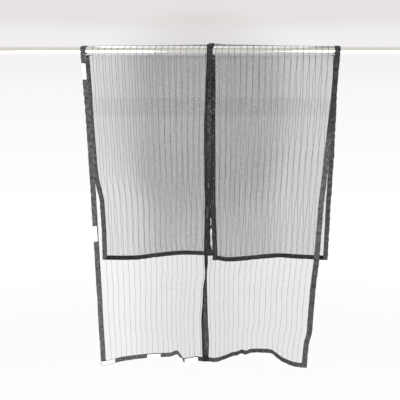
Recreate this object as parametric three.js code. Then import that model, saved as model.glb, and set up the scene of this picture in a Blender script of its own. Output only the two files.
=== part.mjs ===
// A mosquito net door curtain in two panels, thrown over a round rod.
// Each panel is sheer net bound on all four edges with dark tape. The long drop hangs in front of the
// rod, the short drop behind it, and the two centre bands lie on each other in front, held by magnets.
// Millimetres, +X to the right, -Y towards the viewer, +Z up, origin on the rod's axis at the middle.
import * as THREE from 'three';

// Rod
const rodRadius = 17.5;
const rodLength = 1650;
const rodSides = 48;

// Cloth
const clothOffRod = 0.5;
const netThickness = 1;
const tapeThickness = 2;
const bandWidth = 21;
const hemWidth = 19;
const seamGap = 0.3;
const bandLayerGap = 0.6;
const bandLayerStep = tapeThickness + bandLayerGap;
const wrapRadius = rodRadius + clothOffRod + tapeThickness / 2;
const wrapLength = Math.PI * wrapRadius;
const frontDrop = 1250;
const rearDrop = 835;
const clothLength = frontDrop + wrapLength + rearDrop;

// The stiff magnets hold the cloth off the top of the rod, most at the middle
const crown = [
  { x: -496, lift: 0 },
  { x: -440, lift: 2 },
  { x: -200, lift: 3 },
  { x: 0, lift: 6 },
  { x: 130, lift: 5.5 },
  { x: 300, lift: 2 },
  { x: 497, lift: 0 },
];
const magnetLift = 1.5;

// How far from the centre seam the net runs in to meet the band
const seamBlend = 60;

// The front centre bands: the line of their middle down the front, how far they are turned about the
// upright, and how far they have slid apart sideways
const centreLine = [
  { height: 0, x: -3.5, turn: 0, slide: 0 },
  { height: -300, x: -3.5, turn: 0, slide: 0 },
  { height: -450, x: -5, turn: 0, slide: 0 },
  { height: -600, x: -10, turn: 4, slide: 0 },
  { height: -700, x: -12, turn: 12, slide: 0 },
  { height: -765, x: -17, turn: 52, slide: 0 },
  { height: -830, x: -16, turn: 58, slide: 0 },
  { height: -882, x: -17, turn: 78, slide: 0 },
  { height: -925, x: -20, turn: 52, slide: 0 },
  { height: -990, x: -20.5, turn: 34, slide: 1 },
  { height: -1070, x: -21.5, turn: 10, slide: 6 },
  { height: -1160, x: -17.5, turn: 4, slide: 8 },
  { height: -1250, x: -17, turn: 4, slide: 4 },
];
const centreDepthAtHem = -18;

// How the folds open on the way down. A fold towards the viewer reaches its full depth soon, by a share
// of the drop. A fold away from the viewer opens slowly. Folds shallower than the blend depth lie between.
const nearFoldReach = 0.42;
const nearFoldPower = 1.4;
const nearFoldFull = 1.035;
const foldBlendDepth = 25;
const rearFoldPower = 1.3;

// Each panel: its width, its sides, and its folds at the two hems. Across runs to the right from the
// panel's left edge. A fold row gives where that line of the cloth is at the hem, as x and as the depth
// away from the plane that the cloth leaves the rod in. Kinks are the small sharp folds at the front hem,
// and curls are where its lower edge turns back and up.
const leftPanel = {
  name: 'left',
  width: 504,
  centreSide: 1,
  outerFront: [
    { height: 0, x: -496 },
    { height: -120, x: -488 },
    { height: -300, x: -477 },
    { height: -500, x: -468 },
    { height: -700, x: -460 },
    { height: -900, x: -453 },
    { height: -1100, x: -447 },
    { height: -1250, x: -442 },
  ],
  outerRear: [
    { height: 0, x: -490 },
    { height: -120, x: -484 },
    { height: -300, x: -477 },
    { height: -480, x: -467 },
    { height: -540, x: -456 },
    { height: -580, x: -447 },
    { height: -620, x: -444.5 },
    { height: -720, x: -441.5 },
    { height: -835, x: -442 },
  ],
  centreRear: [
    { height: 0, x: -3.5 },
    { height: -60, x: -5 },
    { height: -120, x: -7.5 },
    { height: -180, x: -10 },
    { height: -260, x: -13 },
    { height: -320, x: -13.8 },
    { height: -540, x: -11 },
    { height: -620, x: -6 },
    { height: -680, x: -6 },
    { height: -720, x: -8 },
    { height: -773, x: -6 },
    { height: -797, x: 3.5 },
    { height: -835, x: 5 },
  ],
  frontFolds: [
    { across: 0, x: -442, depth: -58 },
    { across: 21, x: -422, depth: -53 },
    { across: 100, x: -359, depth: -15 },
    { across: 200, x: -272, depth: 12 },
    { across: 300, x: -181, depth: 24 },
    { across: 350, x: -141, depth: 20 },
    { across: 380, x: -118, depth: 9 },
    { across: 410, x: -98, depth: -12 },
    { across: 435, x: -80, depth: -20 },
    { across: 458, x: -60, depth: -10 },
    { across: 483, x: -31, depth: -18 },
  ],
  rearFolds: [
    { across: 0, depth: 12, rise: 0 },
    { across: 150, depth: 12, rise: 0 },
    { across: 240, depth: 30, rise: 6 },
    { across: 350, depth: 56, rise: 9 },
    { across: 440, depth: 40, rise: 12 },
    { across: 483, depth: 12, rise: 17 },
  ],
  kinks: [
    { across: 373, depth: 18, rise: 5, width: 20, height: 130 },
  ],
  curls: [
    { across: 384, width: 8, back: 15, rise: 8, height: 24 },
  ],
  netColumns: [60, 120, 190, 260, 305, 335, 353, 373, 393, 418, 450],
  frontHemColumns: [42, 62, 106, 150, 180, 212, 242, 272, 305, 335, 353, 363, 373, 383, 393, 402, 418, 440,
    468],
};

const rightPanel = {
  name: 'right',
  width: 510,
  centreSide: -1,
  outerFront: [
    { height: 0, x: 495 },
    { height: -150, x: 484 },
    { height: -300, x: 469 },
    { height: -460, x: 453 },
    { height: -575, x: 442 },
    { height: -700, x: 434 },
    { height: -780, x: 430 },
    { height: -940, x: 416 },
    { height: -1060, x: 410 },
    { height: -1100, x: 408 },
    { height: -1150, x: 397 },
    { height: -1250, x: 391 },
  ],
  outerRear: [
    { height: 0, x: 497 },
    { height: -400, x: 495 },
    { height: -600, x: 490 },
    { height: -835, x: 487 },
  ],
  centreRear: [
    { height: 0, x: 8.5 },
    { height: -300, x: 11 },
    { height: -590, x: 13 },
    { height: -640, x: 15 },
    { height: -720, x: 18 },
    { height: -770, x: 20.5 },
    { height: -835, x: 23 },
  ],
  frontFolds: [
    { across: 21, x: -3, depth: -22 },
    { across: 58, x: 23, depth: -27 },
    { across: 106, x: 60, depth: -5 },
    { across: 154, x: 95, depth: 28 },
    { across: 190, x: 127, depth: 42 },
    { across: 249, x: 179, depth: 66 },
    { across: 297, x: 224, depth: 65 },
    { across: 340, x: 263, depth: 58 },
    { across: 368, x: 283, depth: 16 },
    { across: 392, x: 299, depth: -18 },
    { across: 440, x: 333, depth: -59 },
    { across: 489, x: 370, depth: -75 },
    { across: 510, x: 391, depth: -79 },
  ],
  rearFolds: [
    { across: 21, depth: 12, rise: -3 },
    { across: 60, depth: 5, rise: -6 },
    { across: 150, depth: 10, rise: -3 },
    { across: 230, depth: 22, rise: 2 },
    { across: 300, depth: 30, rise: 4 },
    { across: 370, depth: 22, rise: 2 },
    { across: 489, depth: 12, rise: -1 },
    { across: 510, depth: 12, rise: -1 },
  ],
  kinks: [
    { across: 212, depth: 9, rise: 1, width: 12, height: 70 },
  ],
  curls: [],
  netColumns: [50, 100, 150, 195, 228, 290, 340, 370, 405, 450],
  frontHemColumns: [40, 70, 100, 130, 155, 180, 199, 212, 225, 260, 297, 325, 350, 374, 400, 440, 465],
};

// Distances for the cloth's direction at a place
const slopeReach = 1.5;
const sameSeam = 1;

// Distances along the cloth, from the front hem upwards, at which every piece has a row
const frontRows = [60, 110, 160, 200, 240, 275, 305, 335, 368, 400, 440, 485, 540, 600, 680, 780, 880, 980,
  1080, 1160, 1210];
const wrapSteps = 12;
const rearRows = [30, 80, 150, 250, 350, 450, 540, 620, 700, 760];

// Hook-and-loop fastening strips on the face of the left panel, each by the stretch it covers
const stripThickness = 1;
const stripGap = 0.3;
const stripWidth = 15.5;
const bandInset = 0.5;
const hemInset = 0.5;
const cornerInset = 2.5;
const onBand = [bandInset, bandInset + stripWidth];
const onHem = [hemInset, hemInset + stripWidth];
const onCorner = [cornerInset, cornerInset + stripWidth];
const fasteningStrips = [
  { across: onBand, along: [1143, 1173, 1203] },
  { across: onBand, along: [517, 547, 577] },
  { across: [2, 21, 42, 62], along: onCorner },
  { across: [212, 242, 272], along: onHem },
  { across: [402, 418, 440, 468], along: onHem },
];

// Value of one column of a table at a place, as a smooth curve through the rows
function tableValue(rows, key, column, place) {
  const up = rows[rows.length - 1][key] > rows[0][key] ? 1 : -1;
  const at = place * up;
  const keys = rows.map((row) => row[key] * up);
  const values = rows.map((row) => row[column]);
  const last = rows.length - 1;
  if (at <= keys[0]) return values[0];
  if (at >= keys[last]) return values[last];
  let i = 0;
  while (at > keys[i + 1]) i += 1;
  const slope = (j) => {
    const before = Math.max(j - 1, 0);
    const after = Math.min(j + 1, last);
    return (values[after] - values[before]) / (keys[after] - keys[before]);
  };
  const span = keys[i + 1] - keys[i];
  const f = (at - keys[i]) / span;
  const curveAway = (1 + 2 * f) * (1 - f) ** 2 * values[i] + f * (1 - f) ** 2 * span * slope(i);
  const curveIn = f * f * (3 - 2 * f) * values[i + 1] + f * f * (f - 1) * span * slope(i + 1);
  return curveAway + curveIn;
}

function smoothStep(from, to, value) {
  const f = Math.min(Math.max((value - from) / (to - from), 0), 1);
  return f * f * (3 - 2 * f);
}

function mix(a, b, f) {
  return a + (b - a) * f;
}

// Folds towards the viewer open soon below the rod, folds away from the viewer only near the hem,
// because the rear drop hangs behind them
function foldGrowth(depth, fall) {
  const near = nearFoldFull * (1 - Math.exp(-((fall / nearFoldReach) ** nearFoldPower)));
  const far = fall * fall;
  const away = (1 + Math.tanh(depth / foldBlendDepth)) / 2;
  return mix(near, far, away);
}

// Middle line of the two centre bands in front, with the direction across them and out of them
function centreFrame(height) {
  const turn = THREE.MathUtils.degToRad(tableValue(centreLine, 'height', 'turn', height));
  const fall = -height / frontDrop;
  return {
    x: tableValue(centreLine, 'height', 'x', height),
    y: -wrapRadius + centreDepthAtHem * foldGrowth(centreDepthAtHem, fall),
    slide: tableValue(centreLine, 'height', 'slide', height),
    across: { x: Math.cos(turn), y: Math.sin(turn) },
    outward: { x: Math.sin(turn), y: -Math.cos(turn) },
  };
}

function seamAcross(panel) {
  return panel.centreSide > 0 ? panel.width - bandWidth : bandWidth;
}

// A point of a centre band in front, across measured from the panel's left edge
function frontBandPoint(panel, across, height) {
  const frame = centreFrame(height);
  const bandMiddle = panel.centreSide > 0 ? panel.width - bandWidth / 2 : bandWidth / 2;
  const side = across - bandMiddle - panel.centreSide * frame.slide / 2;
  const layer = panel.centreSide > 0 ? 0 : bandLayerStep;
  return {
    x: frame.x + side * frame.across.x + layer * frame.outward.x,
    y: frame.y + side * frame.across.y + layer * frame.outward.y,
  };
}

function inCentreBand(panel, across) {
  return panel.centreSide > 0 ? across > seamAcross(panel) : across < seamAcross(panel);
}

// Right net and band lie on the left band, so their layer fades out across the net
function layerShare(panel, across) {
  if (panel.centreSide > 0) return 0;
  return 1 - smoothStep(bandWidth, bandWidth + seamBlend, across);
}

// A kink goes back and up on its left, forward and down on its right, each the most at its width from its
// middle. A curl goes back and up as the square of how near the hem's edge is.
function kinkShift(panel, across, fall) {
  const shift = { depth: 0, rise: 0 };
  for (const kink of panel.kinks) {
    const q = (across - kink.across) / kink.width;
    const fade = 1 - smoothStep(0, kink.height, (1 - fall) * frontDrop);
    const bend = -q * Math.exp((1 - q * q) / 2) * fade;
    shift.depth += kink.depth * bend;
    shift.rise += kink.rise * bend;
  }
  for (const curl of panel.curls) {
    const beside = Math.exp(-(((across - curl.across) / curl.width) ** 2));
    const low = Math.max(1 - ((1 - fall) * frontDrop) / curl.height, 0) ** 2;
    shift.depth += curl.back * beside * low;
    shift.rise += curl.rise * beside * low;
  }
  return shift;
}

function frontPoint(panel, across, fall) {
  const height = -fall * frontDrop;
  if (inCentreBand(panel, across)) {
    const point = frontBandPoint(panel, across, height);
    return new THREE.Vector3(point.x, point.y, height);
  }
  const seam = seamAcross(panel);
  const seamPoint = frontBandPoint(panel, seam, height);
  const outerAcross = panel.centreSide > 0 ? 0 : panel.width;
  const share = (across - outerAcross) / (seam - outerAcross);
  const outerX = tableValue(panel.outerFront, 'height', 'x', height);
  const hemOuter = tableValue(panel.frontFolds, 'across', 'x', outerAcross);
  const hemSeam = tableValue(panel.frontFolds, 'across', 'x', seam);
  const hemX = tableValue(panel.frontFolds, 'across', 'x', across);
  const hemShare = (hemX - hemOuter) / (hemSeam - hemOuter);
  const x = mix(outerX, seamPoint.x, mix(share, hemShare, fall));
  const folded = (a) => {
    const depth = tableValue(panel.frontFolds, 'across', 'depth', a);
    return -wrapRadius + depth * foldGrowth(depth, fall);
  };
  const nearSeam = 1 - smoothStep(0, seamBlend, Math.abs(across - seam));
  const kink = kinkShift(panel, across, fall);
  const y = folded(across) + kink.depth + (seamPoint.y - folded(seam)) * nearSeam;
  return new THREE.Vector3(x, y, height + kink.rise);
}

function rearX(panel, across, height) {
  const centreX = tableValue(panel.centreRear, 'height', 'x', height);
  const seam = seamAcross(panel);
  const seamX = centreX - panel.centreSide * bandWidth / 2;
  if (inCentreBand(panel, across)) return seamX + across - seam;
  const outerAcross = panel.centreSide > 0 ? 0 : panel.width;
  const outerX = tableValue(panel.outerRear, 'height', 'x', height);
  return mix(outerX, seamX, (across - outerAcross) / (seam - outerAcross));
}

function rearPoint(panel, across, fall) {
  const inNet = panel.centreSide > 0
    ? Math.min(across, seamAcross(panel)) : Math.max(across, seamAcross(panel));
  const drop = rearDrop - tableValue(panel.rearFolds, 'across', 'rise', inNet);
  const depth = tableValue(panel.rearFolds, 'across', 'depth', inNet);
  const height = -fall * drop;
  const layer = bandLayerStep * layerShare(panel, across);
  const y = wrapRadius + layer + depth * fall ** rearFoldPower;
  return new THREE.Vector3(rearX(panel, across, height), y, height);
}

function wrapPoint(panel, across, turned) {
  const angle = Math.PI * turned;
  const x = mix(frontPoint(panel, across, 0).x, rearX(panel, across, 0), smoothStep(0, 1, turned));
  const share = layerShare(panel, across);
  const lift = tableValue(crown, 'x', 'lift', x) + magnetLift * share;
  const radius = wrapRadius + bandLayerStep * share + lift * Math.sin(angle) ** 2;
  return new THREE.Vector3(x, -radius * Math.cos(angle), radius * Math.sin(angle));
}

// The middle of the cloth at a place, along measured from the front hem over the rod to the rear hem
function clothPoint(panel, across, along) {
  if (along < frontDrop) return frontPoint(panel, across, 1 - along / frontDrop);
  const past = along - frontDrop;
  if (past <= wrapLength) return wrapPoint(panel, across, past / wrapLength);
  return rearPoint(panel, across, (past - wrapLength) / rearDrop);
}

// Direction out of the cloth, away from the rod, from the slopes a short reach to each side.
// Pieces on both sides of a seam share the seam's own direction.
function clothNormal(panel, across, along) {
  const seam = seamAcross(panel);
  const place = Math.abs(across - seam) < sameSeam ? seam : across;
  const right = clothPoint(panel, place + slopeReach, along);
  right.sub(clothPoint(panel, place - slopeReach, along));
  const up = clothPoint(panel, place, along + slopeReach);
  up.sub(clothPoint(panel, place, along - slopeReach));
  return right.cross(up).normalize();
}

// A closed sheet of the cloth over a grid of places, of one thickness, standing a little off the middle
function sheetMesh(name, panel, columns, rows, thickness, standOff, material) {
  const positions = [];
  const indices = [];
  const wide = columns.length;
  const faceSize = wide * rows.length;
  for (const side of [standOff + thickness / 2, standOff - thickness / 2]) {
    for (const along of rows) {
      for (const across of columns) {
        const point = clothPoint(panel, across, along);
        point.addScaledVector(clothNormal(panel, across, along), side);
        positions.push(point.x, point.y, point.z);
      }
    }
  }
  const quad = (a, b, c, d) => indices.push(a, b, c, a, c, d);
  for (let r = 0; r + 1 < rows.length; r += 1) {
    for (let c = 0; c + 1 < wide; c += 1) {
      const a = r * wide + c;
      quad(a, a + 1, a + wide + 1, a + wide);
      quad(faceSize + a, faceSize + a + wide, faceSize + a + wide + 1, faceSize + a + 1);
    }
  }
  const wall = (a, b) => quad(b, a, faceSize + a, faceSize + b);
  const topRow = (rows.length - 1) * wide;
  for (let c = 0; c + 1 < wide; c += 1) {
    wall(c, c + 1);
    wall(topRow + c + 1, topRow + c);
  }
  for (let r = 0; r + 1 < rows.length; r += 1) {
    wall((r + 1) * wide, r * wide);
    wall(r * wide + wide - 1, (r + 1) * wide + wide - 1);
  }
  const geometry = new THREE.BufferGeometry();
  geometry.setAttribute('position', new THREE.Float32BufferAttribute(positions, 3));
  geometry.setIndex(indices);
  geometry.computeVertexNormals();
  const mesh = new THREE.Mesh(geometry, material);
  mesh.name = name;
  return mesh;
}

const chrome = new THREE.MeshStandardMaterial({ color: 0xe9e8e5, roughness: 0.2, metalness: 0.8 });
const netYarn = new THREE.MeshStandardMaterial({ color: 0x8f8c88, roughness: 0.8, metalness: 0 });
const tape = new THREE.MeshStandardMaterial({ color: 0x423f3d, roughness: 0.85, metalness: 0 });
const fastening = new THREE.MeshStandardMaterial({ color: 0xf2f1ee, roughness: 0.6, metalness: 0 });

function makeRod() {
  const geometry = new THREE.CylinderGeometry(rodRadius, rodRadius, rodLength, rodSides);
  const mesh = new THREE.Mesh(geometry, chrome);
  mesh.name = 'rod';
  mesh.rotation.z = Math.PI / 2;
  return mesh;
}

function makePanel(panel) {
  const bodyRows = frontRows.slice();
  for (let i = 0; i <= wrapSteps; i += 1) bodyRows.push(frontDrop + wrapLength * i / wrapSteps);
  for (const row of rearRows) bodyRows.push(frontDrop + wrapLength + row);
  const frontHemRows = [0, hemWidth / 2, hemWidth];
  const rearHemRows = [clothLength - hemWidth, clothLength - hemWidth / 2, clothLength];
  const netRows = [hemWidth + seamGap, ...bodyRows, clothLength - hemWidth - seamGap];
  const bandRows = [...frontHemRows, hemWidth + seamGap, ...bodyRows, clothLength - hemWidth - seamGap,
    ...rearHemRows];
  const betweenBands = (columns) => [bandWidth + seamGap, ...columns, panel.width - bandWidth - seamGap];
  const netColumns = betweenBands(panel.netColumns);
  const frontHemColumns = betweenBands(panel.frontHemColumns);
  const leftBand = [0, bandWidth];
  const rightBand = [panel.width - bandWidth, panel.width];
  const outerBand = panel.centreSide > 0 ? leftBand : rightBand;
  const centreBand = panel.centreSide > 0 ? rightBand : leftBand;
  return [
    sheetMesh(`${panel.name}_net`, panel, netColumns, netRows, netThickness, 0, netYarn),
    sheetMesh(`${panel.name}_outer_band`, panel, outerBand, bandRows, tapeThickness, 0, tape),
    sheetMesh(`${panel.name}_centre_band`, panel, centreBand, bandRows, tapeThickness, 0, tape),
    sheetMesh(`${panel.name}_front_hem`, panel, frontHemColumns, frontHemRows, tapeThickness, 0, tape),
    sheetMesh(`${panel.name}_rear_hem`, panel, netColumns, rearHemRows, tapeThickness, 0, tape),
  ];
}

function makeFasteningStrips() {
  const standOff = (tapeThickness + stripThickness) / 2 + stripGap;
  return fasteningStrips.map((strip, i) => sheetMesh(`fastening_strip_${i + 1}`, leftPanel, strip.across,
    strip.along, stripThickness, standOff, fastening));
}

const group = new THREE.Group();
group.add(makeRod(), ...makePanel(leftPanel), ...makePanel(rightPanel), ...makeFasteningStrips());

export default group;
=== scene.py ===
import bpy
import numpy as np
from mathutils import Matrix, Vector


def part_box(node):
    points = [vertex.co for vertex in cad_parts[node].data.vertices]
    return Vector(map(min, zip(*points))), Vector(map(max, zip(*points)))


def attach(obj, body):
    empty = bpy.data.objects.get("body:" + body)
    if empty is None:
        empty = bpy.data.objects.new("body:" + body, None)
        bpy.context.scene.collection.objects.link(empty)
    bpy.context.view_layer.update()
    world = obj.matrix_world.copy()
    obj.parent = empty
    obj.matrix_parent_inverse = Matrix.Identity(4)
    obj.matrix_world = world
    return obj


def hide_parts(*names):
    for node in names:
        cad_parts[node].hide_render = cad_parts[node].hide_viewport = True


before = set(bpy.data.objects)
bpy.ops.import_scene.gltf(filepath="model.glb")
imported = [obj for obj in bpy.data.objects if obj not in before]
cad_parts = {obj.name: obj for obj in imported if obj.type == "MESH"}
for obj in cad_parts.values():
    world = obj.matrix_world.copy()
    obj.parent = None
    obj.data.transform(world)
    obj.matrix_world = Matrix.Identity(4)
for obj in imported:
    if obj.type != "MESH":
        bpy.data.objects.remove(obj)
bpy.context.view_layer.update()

# Rod: a polished steel tube, rolled and welded from thin strip, cut square and smoothed at both ends, each
# closed by a disc pressed a little way in. The curtain is only thrown over it.
mm = 0.001
rod_radius = 17.5 * mm
rod_wall = 1.2 * mm
rod_half_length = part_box("rod")[1].x
rod_end_round = 0.4 * mm
disc_depth = 4 * mm
rod_sides, rod_end_steps = 128, 9
rod_colour = (0.93, 0.92, 0.90, 1)


def mesh_object(name, points, faces, material, cloth_places=None):
    """Makes an object of points and faces, smooth shaded, that rides with the part. Cloth places are the
    across and along distances of each point on its panel, in metres, kept as the piece's UV map."""
    mesh = bpy.data.meshes.new(name)
    mesh.from_pydata(points.reshape(-1, 3).tolist(), [], faces)
    mesh.polygons.foreach_set("use_smooth", np.ones(len(mesh.polygons), bool))
    if cloth_places is not None:
        corners = np.empty(len(mesh.loops), np.int32)
        mesh.loops.foreach_get("vertex_index", corners)
        layer = mesh.uv_layers.new(name="cloth")
        layer.uv.foreach_set("vector", cloth_places.reshape(-1, 2)[corners].astype(np.float32).ravel())
    mesh.materials.append(material)
    piece = bpy.data.objects.new(name, mesh)
    bpy.context.scene.collection.objects.link(piece)
    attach(piece, "root")
    return piece


def grid_faces(rows, columns, ring=False):
    """Faces of a grid of points, row by row, each face turning from its row to the next. A ring joins the
    last column to the first."""
    row = np.arange(rows - 1)[:, None] * columns
    column = np.arange(columns if ring else columns - 1)[None, :]
    nearby = (column + 1) % columns
    faces = np.stack([row + column, row + nearby, row + nearby + columns, row + column + columns], axis=-1)
    return faces.reshape(-1, 4)


def node_maker(tree):
    """A function that adds a node to a tree and fills its sockets. A socket's value is a number, a colour or
    another node's output."""
    def add(kind, sockets=(), **settings):
        node = tree.nodes.new(kind)
        for key, value in settings.items():
            setattr(node, key, value)
        for key, value in dict(sockets).items():
            if isinstance(value, bpy.types.NodeSocket):
                tree.links.new(value, node.inputs[key])
            else:
                node.inputs[key].default_value = value
        return node

    return add


def new_material(name, values):
    """A material whose surface shader has these values, its node maker, and a function that links an output
    to one of the shader's sockets."""
    material = bpy.data.materials.new(name)
    material.use_nodes = True
    tree = material.node_tree
    surface = tree.nodes["Principled BSDF"]
    for socket, value in values.items():
        surface.inputs[socket].default_value = value

    def connect(output, socket):
        tree.links.new(output, surface.inputs[socket])

    return material, node_maker(tree), connect


def noise(add, place, scale, detail, stretch=None):
    """Cloudy noise at a place, which may be stretched first by a share on each axis."""
    if stretch:
        place = add("ShaderNodeMapping", {"Vector": place, "Scale": stretch}).outputs[0]
    return add("ShaderNodeTexNoise", {"Vector": place, "Scale": scale, "Detail": detail}).outputs[0]


def ranged(add, value, low, high, new_low=0.0, new_high=1.0):
    """A value moved from one range to another and held within it."""
    return add("ShaderNodeMapRange", {"Value": value, "From Min": low, "From Max": high,
                                      "To Min": new_low, "To Max": new_high}).outputs[0]


def make_polished_steel():
    """Steel with a mirror polish, faint lengthways drawing marks and a few smudges."""
    material, add, connect = new_material("polished_steel", {"Roughness": 0.16, "Metallic": 1.0,
                                                             "Base Color": rod_colour})
    place = add("ShaderNodeTexCoord").outputs["Object"]
    smudges = noise(add, place, 14.0, 4.0)
    connect(ranged(add, smudges, 0.35, 0.7, 0.08, 0.18), "Roughness")
    marks = noise(add, place, 1.0, 2.0, (3, 900, 900))
    bump = add("ShaderNodeBump", {"Height": marks, "Strength": 0.06, "Distance": 0.0002}).outputs[0]
    connect(bump, "Normal")
    return material


# Half the outline from the left disc's middle, out along its wall, round the end and along the outside
end_turn = np.linspace(0, np.pi, rod_end_steps)
ring_middle = rod_radius - rod_wall / 2
end_reach = rod_half_length - rod_end_round + rod_end_round * np.sin(end_turn)
end_height = ring_middle - rod_wall / 2 * np.cos(end_turn)
disc_reach = rod_half_length - disc_depth
inner_radius = rod_radius - rod_wall
half_outline = np.concatenate([[(-disc_reach, inner_radius / 2), (-disc_reach, inner_radius)],
                               np.stack([-end_reach, end_height], axis=1)])
outline = np.concatenate([half_outline, half_outline[::-1] * (-1, 1)])
around = np.linspace(0, 2 * np.pi, rod_sides, endpoint=False)[None, :]
tube_points = np.stack(np.broadcast_arrays(outline[:, :1], outline[:, 1:] * np.cos(around),
                                           outline[:, 1:] * np.sin(around)), axis=-1)
left_disc = list(range(rod_sides))
right_disc = [corner + (len(outline) - 1) * rod_sides for corner in left_disc[::-1]]
tube_faces = grid_faces(len(outline), rod_sides, ring=True)[:, ::-1].tolist() + [left_disc, right_disc]
tube = mesh_object("rod_tube", tube_points, tube_faces, make_polished_steel())
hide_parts("rod")


# Nets: two panels of sheer striped net, thrown over the rod with the long drop in front and the short
# drop behind. The magnets in the centre edges draw the two panels together in front.
net_middle_radius = 19 * mm
front_drop = 1250 * mm
rear_drop = 835 * mm
over_rod = np.pi * net_middle_radius
cloth_length = front_drop + over_rod + rear_drop
band_width = 21 * mm
hem_width = 19 * mm
layer_step = 2.6 * mm
magnet_lift = 1.5 * mm
seam_blend = 60 * mm
centre_depth_at_hem = -18 * mm

# How the folds open with the share of the drop. A fold towards the viewer opens soon, to its full size by a
# reach and a power. One away from the viewer opens as the square. Shallower folds lie between the two. Folds
# of the rear drop open by a power of their own.
near_fold_full, near_fold_reach, near_fold_power = 1.035, 0.42, 1.4
fold_blend_depth = 25 * mm
rear_fold_power = 1.3

# How high the stiff cloth stands off the top of the rod: x, lift
crown = mm * np.array([(-496, 0), (-440, 2), (-200, 3), (0, 6), (130, 5.5), (300, 2), (497, 0)])

# Middle line of the centre bands in front: height, x, and how far they have slid apart
centre_line = mm * np.array([
    (-1250, -17, 4), (-1160, -17.5, 8), (-1070, -21.5, 6), (-990, -20.5, 1), (-925, -20, 0), (-882, -17, 0),
    (-830, -16, 0), (-765, -17, 0), (-700, -12, 0), (-600, -10, 0), (-450, -5, 0), (-300, -3.5, 0),
    (0, -3.5, 0)])
# Degrees that the centre bands are turned about the upright, at heights
centre_turn = np.array([
    (-1250, 4), (-1160, 4), (-1070, 10), (-990, 34), (-925, 52), (-882, 78), (-830, 58), (-765, 52),
    (-700, 12), (-600, 4), (-450, 0), (-300, 0), (0, 0)]) * (mm, 1)

# Each panel's sides as height and x, its folds at the hems, and the small sharp folds and curls of the
# front hem's edge.
# Front folds are across, x, depth. Rear folds are across, depth, rise. Rear spread is how far lines of the
# net stand off an even spacing behind. Cover is the share of the net that is thread, across; it is set
# higher towards the middle of the curtain and on the rear drop as painted shade, and lower at the left
# panel's outer side as painted light. Pulls are long creases that shift the net's lines to the side:
# across, height, reach across, half height, rise over the reach, shift.
left_panel = dict(
    name="left", width=504 * mm, centre_side=1,
    outer_front=mm * np.array([(-1250, -442), (-1100, -447), (-900, -453), (-700, -460), (-500, -468),
                               (-300, -477), (-120, -488), (0, -496)]),
    outer_rear=mm * np.array([(-835, -442), (-720, -441.5), (-620, -444.5), (-580, -447), (-540, -456),
                              (-480, -467), (-300, -477), (-120, -484), (0, -490)]),
    centre_rear=mm * np.array([(-835, 5), (-797, 3.5), (-773, -6), (-720, -8), (-680, -6), (-620, -6),
                               (-540, -11), (-320, -13.8), (-260, -13), (-180, -10), (-120, -7.5), (-60, -5),
                               (0, -3.5)]),
    front_folds=mm * np.array([(0, -442, -58), (21, -422, -53), (100, -359, -15), (200, -272, 12),
                               (300, -181, 24), (350, -141, 20), (380, -118, 9), (410, -98, -12),
                               (435, -80, -20), (458, -60, -10), (483, -31, -18)]),
    rear_folds=mm * np.array([(0, 12, 0), (150, 12, 0), (240, 30, 6), (350, 56, 9), (440, 40, 12),
                              (483, 12, 17)]),
    rear_spread=mm * np.array([(0, 0), (46, 1.7), (100, 4.6), (210, 8.6), (320, 5.6), (400, 7.5),
                               (455, 9.5), (483, 0)]),
    kinks=[dict(across=373 * mm, depth=18 * mm, rise=5 * mm, width=20 * mm, height=130 * mm)],
    curls=[dict(across=384 * mm, width=8 * mm, back=15 * mm, rise=8 * mm, height=24 * mm)],
    pulls=mm * np.array([(275, -885, 65, 10, -27, 2.6), (335, -1130, 24, 20, 0, 3.6),
                         (455, -706, 22, 10, 15, 2.2)]),
    first_stripe=46 * mm, stripe_step=24 * mm, stripe_count=19,
    front_cover=np.array([(0, 0.07), (60, 0.08), (138, 0.11), (263, 0.20), (430, 0.25),
                          (504, 0.26)]) * (mm, 1),
    rear_cover=np.array([(0, 0.20), (138, 0.24), (200, 0.36), (263, 0.43), (430, 0.41),
                         (504, 0.41)]) * (mm, 1))
right_panel = dict(
    name="right", width=510 * mm, centre_side=-1,
    outer_front=mm * np.array([(-1250, 391), (-1150, 397), (-1100, 408), (-1060, 410), (-940, 416),
                               (-780, 430), (-700, 434), (-575, 442), (-460, 453), (-300, 469),
                               (-150, 484), (0, 495)]),
    outer_rear=mm * np.array([(-835, 487), (-600, 490), (-400, 495), (0, 497)]),
    centre_rear=mm * np.array([(-835, 23), (-770, 20.5), (-720, 18), (-640, 15), (-590, 13), (-300, 11),
                               (0, 8.5)]),
    front_folds=mm * np.array([(21, -3, -22), (58, 23, -27), (106, 60, -5), (154, 95, 28),
                               (190, 127, 42), (249, 179, 66), (297, 224, 65), (340, 263, 58),
                               (368, 283, 16), (392, 299, -18), (440, 333, -59), (489, 370, -75),
                               (510, 391, -79)]),
    rear_folds=mm * np.array([(21, 12, -3), (60, 5, -6), (150, 10, -3), (230, 22, 2), (300, 30, 4),
                              (370, 22, 2), (489, 12, -1), (510, 12, -1)]),
    rear_spread=mm * np.array([(21, 0), (58, 3.3), (130, -7.3), (250, -2.7), (440, 4.3), (489, 0)]),
    kinks=[dict(across=212 * mm, depth=9 * mm, rise=1 * mm, width=12 * mm, height=70 * mm)],
    curls=[],
    pulls=mm * np.array([(465, -1060, 28, 10, 5, 2.2), (339, -755, 50, 10, -8, 2.4)]),
    first_stripe=34.5 * mm, stripe_step=23.9 * mm, stripe_count=19,
    front_cover=np.array([(0, 0.27), (65, 0.26), (208, 0.235), (290, 0.215), (510, 0.19)]) * (mm, 1),
    rear_cover=np.array([(0, 0.43), (208, 0.43), (260, 0.37), (330, 0.27), (510, 0.25)]) * (mm, 1))


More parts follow.
